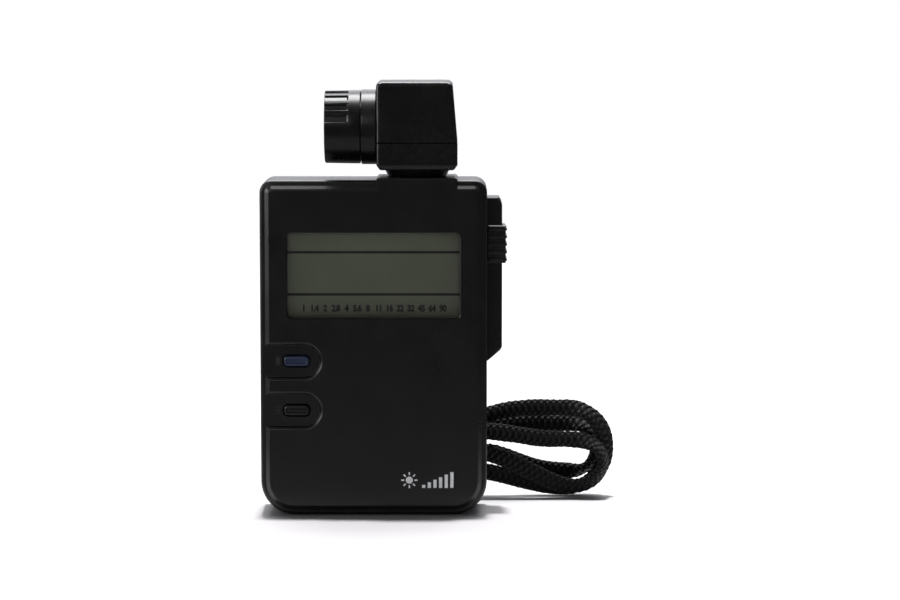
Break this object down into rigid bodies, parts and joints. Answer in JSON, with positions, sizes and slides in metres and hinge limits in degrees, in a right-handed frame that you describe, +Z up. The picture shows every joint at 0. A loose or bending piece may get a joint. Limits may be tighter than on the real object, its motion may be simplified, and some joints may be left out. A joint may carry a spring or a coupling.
{
  "type": "handheld light meter",
  "caption": "Pocket light meter with a flat case, window display, front keys, side grip with a ribbed slide, swivelling receptor head with a twist-on attachment, and a braided strap.",
  "frame": {"origin": "middle of the case's flat base, without the side grip", "axes": "+Z up from the base to the head, -Y out of the display, +X towards the side grip"},
  "size_m": [0.1051, 0.045, 0.1268],
  "materials": {
    "case_plastic": "semi-gloss black, fine moulded texture",
    "control_plastic": "satin black",
    "key_blue": "satin dark blue",
    "window_pane": "clear polished",
    "lcd_glass": "grey-green, matt reflective back",
    "white_plastic": "natural white",
    "zebra_rubber": "soft",
    "board_green": "solder mask",
    "component_black": "matt",
    "spring_steel": "bright",
    "black_screw": "blackened steel",
    "nickel": "plated",
    "contact_brass": "bright",
    "cell_jacket": "printed film, plain",
    "lens_glass": "coated",
    "photo_cell": "dark polished",
    "lead_jacket": "matt",
    "strap_braid": "woven black braid",
    "strap_fitting": "soft black"
  },
  "bodies": {
    "case": {"front_cover": "case_plastic", "rear_cover": "case_plastic", "display_window": "window_pane", "lcd_panel": "lcd_glass", "lcd_frame": "white_plastic", "lcd_connectors": "zebra_rubber", "main_board": "board_green", "board_components": "component_black", "sensor_connector": "white_plastic", "key_switches": "spring_steel", "measure_switch": "component_black", "mode_switch": "spring_steel", "board_screws": "spring_steel", "case_screws": "black_screw", "sync_socket": "nickel", "sync_insulator": "white_plastic", "sync_contact": "contact_brass", "battery_cell": "cell_jacket", "battery_spring": "spring_steel", "battery_contacts": "spring_steel", "friction_washer": "spring_steel", "strap_pin": "spring_steel", "strap_loop": "strap_braid", "strap_clamp": "strap_fitting", "strap_front_turn": "strap_braid", "strap_lead": "strap_braid", "strap_hank": "strap_braid", "strap_tie": "strap_fitting"},
    "battery_door": {"battery_door": "case_plastic"},
    "iso_key": {"iso_key": "key_blue"},
    "mode_key": {"mode_key": "control_plastic"},
    "mode_slide": {"mode_slide": "control_plastic", "mode_switch_lever": "component_black"},
    "measure_button": {"measure_button": "control_plastic"},
    "head": {"swivel_turret": "case_plastic", "turret_screws": "spring_steel", "head_base": "case_plastic", "head_cover": "case_plastic", "head_screws": "black_screw", "mount_ring": "case_plastic", "mount_nut": "spring_steel", "sensor_filter": "lens_glass", "sensor_cell": "photo_cell", "sensor_board": "board_green", "sensor_lead": "lead_jacket"},
    "attachment": {"attachment_barrel": "case_plastic", "attachment_lens": "lens_glass", "lens_retainer": "black_screw"}
  },
  "joints": [
    {"name": "head_swivel", "type": "hinge", "parent": "case", "child": "head", "pos_m": [0.0127, 0, 0.1], "axis": [0, 0, 1], "range_deg": [-180, 90]},
    {"name": "attachment_twist", "type": "hinge", "parent": "head", "child": "attachment", "pos_m": [0, 0, 0.1133], "axis": [-1, 0, 0], "range_deg": [0, 40]},
    {"name": "iso_key_press", "type": "slide", "parent": "case", "child": "iso_key", "axis": [0, 1, 0], "range_m": [0, 0.0006], "stiffness_N_per_m": 400},
    {"name": "mode_key_press", "type": "slide", "parent": "case", "child": "mode_key", "axis": [0, 1, 0], "range_m": [0, 0.0006], "stiffness_N_per_m": 400},
    {"name": "mode_slide_travel", "type": "slide", "parent": "case", "child": "mode_slide", "axis": [0, 0, -1], "range_m": [0, 0.0026]},
    {"name": "measure_button_press", "type": "slide", "parent": "case", "child": "measure_button", "axis": [-1, 0, 0], "range_m": [0, 0.0007], "stiffness_N_per_m": 500},
    {"name": "battery_door_slide", "type": "slide", "parent": "case", "child": "battery_door", "axis": [-1, 0, 0], "range_m": [0, 0.055]}
  ]
}
